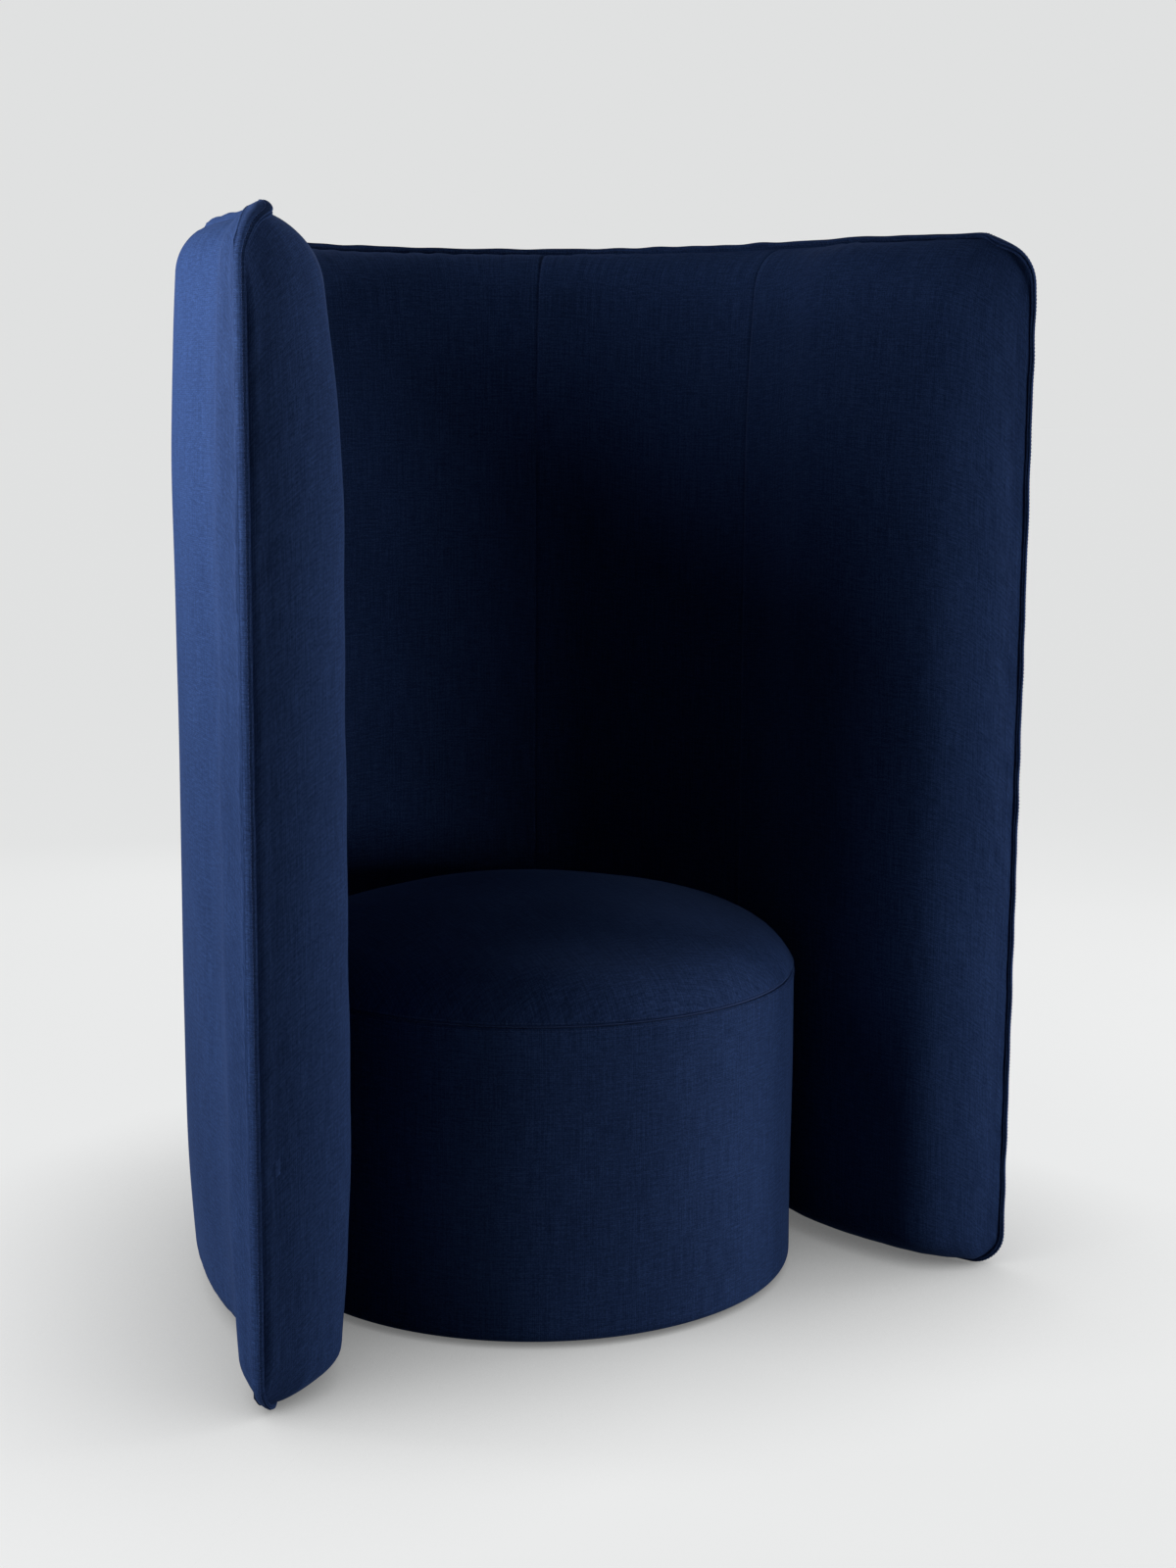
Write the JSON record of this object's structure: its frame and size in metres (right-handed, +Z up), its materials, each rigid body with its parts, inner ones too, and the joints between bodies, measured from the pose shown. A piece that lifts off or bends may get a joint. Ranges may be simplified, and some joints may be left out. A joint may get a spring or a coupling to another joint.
{
  "type": "high back lounge chair",
  "caption": "Round upholstered drum seat inside a tall padded U-shaped privacy screen with flared wings and a raised edge seam, covered in navy cloth.",
  "frame": {"origin": "on the floor, under the middle of the chair's bounding box", "axes": "+Z up, -Y to the chair's open front, +X to the right as seen from the front"},
  "size_m": [1.0774, 0.861, 1.35],
  "materials": {
    "navy_cloth": "matt wool-blend upholstery cloth",
    "seam_thread": "matt twisted thread",
    "black_textile": "matt non-woven and webbing",
    "upholstery_foam": "open-cell polyurethane foam",
    "plywood": "raw birch plywood",
    "hardboard": "raw hardboard",
    "zinc_steel": "bright zinc plate",
    "nylon_foot": "moulded black nylon"
  },
  "bodies": {
    "chair": {"edge_flange": "navy_cloth", "edge_foam_front_left": "upholstery_foam", "edge_foam_front_right": "upholstery_foam", "edge_foam_top": "upholstery_foam", "frame_screws": "zinc_steel", "inner_cover_back": "navy_cloth", "inner_cover_corner_left": "navy_cloth", "inner_cover_corner_right": "navy_cloth", "inner_cover_wing_left": "navy_cloth", "inner_cover_wing_right": "navy_cloth", "inner_pad_back": "upholstery_foam", "inner_pad_corner_left": "upholstery_foam", "inner_pad_corner_right": "upholstery_foam", "inner_pad_wing_left": "upholstery_foam", "inner_pad_wing_right": "upholstery_foam", "leveller_inserts": "zinc_steel", "outer_cover_back": "navy_cloth", "outer_cover_left": "navy_cloth", "outer_cover_right": "navy_cloth", "outer_pad_back": "upholstery_foam", "outer_pad_left": "upholstery_foam", "outer_pad_right": "upholstery_foam", "post_back": "plywood", "post_flank_left": "plywood", "post_flank_right": "plywood", "post_front_left": "plywood", "post_front_right": "plywood", "post_rear_left": "plywood", "post_rear_right": "plywood", "post_side_left": "plywood", "post_side_right": "plywood", "screen_bottom_rail": "plywood", "screen_inner_skin": "hardboard", "screen_mid_noggings": "plywood", "screen_outer_skin": "hardboard", "screen_top_rail": "plywood", "seat_base_board": "plywood", "seat_bolt_inserts": "zinc_steel", "seat_bolts": "zinc_steel", "seat_deck_ring": "plywood", "seat_dust_cover": "black_textile", "seat_glides": "nylon_foot", "seat_posts": "plywood", "seat_rim_seam": "seam_thread", "seat_screws": "zinc_steel", "seat_side_cover": "navy_cloth", "seat_side_foam": "upholstery_foam", "seat_top_cover": "navy_cloth", "seat_top_foam": "upholstery_foam", "seat_wall": "hardboard", "seat_webbing": "black_textile", "spacer_sleeves": "zinc_steel"},
    "leveller_front_left": {"leveller_front_left": "nylon_foot"},
    "leveller_front_right": {"leveller_front_right": "nylon_foot"},
    "leveller_rear_left": {"leveller_rear_left": "nylon_foot"},
    "leveller_rear_right": {"leveller_rear_right": "nylon_foot"}
  },
  "joints": [
    {"name": "level_front_left", "type": "slide", "parent": "chair", "child": "leveller_front_left", "axis": [0, 0, -1], "range_m": [0, 0.01]},
    {"name": "level_front_right", "type": "slide", "parent": "chair", "child": "leveller_front_right", "axis": [0, 0, -1], "range_m": [0, 0.01]},
    {"name": "level_rear_left", "type": "slide", "parent": "chair", "child": "leveller_rear_left", "axis": [0, 0, -1], "range_m": [0, 0.01]},
    {"name": "level_rear_right", "type": "slide", "parent": "chair", "child": "leveller_rear_right", "axis": [0, 0, -1], "range_m": [0, 0.01]}
  ]
}
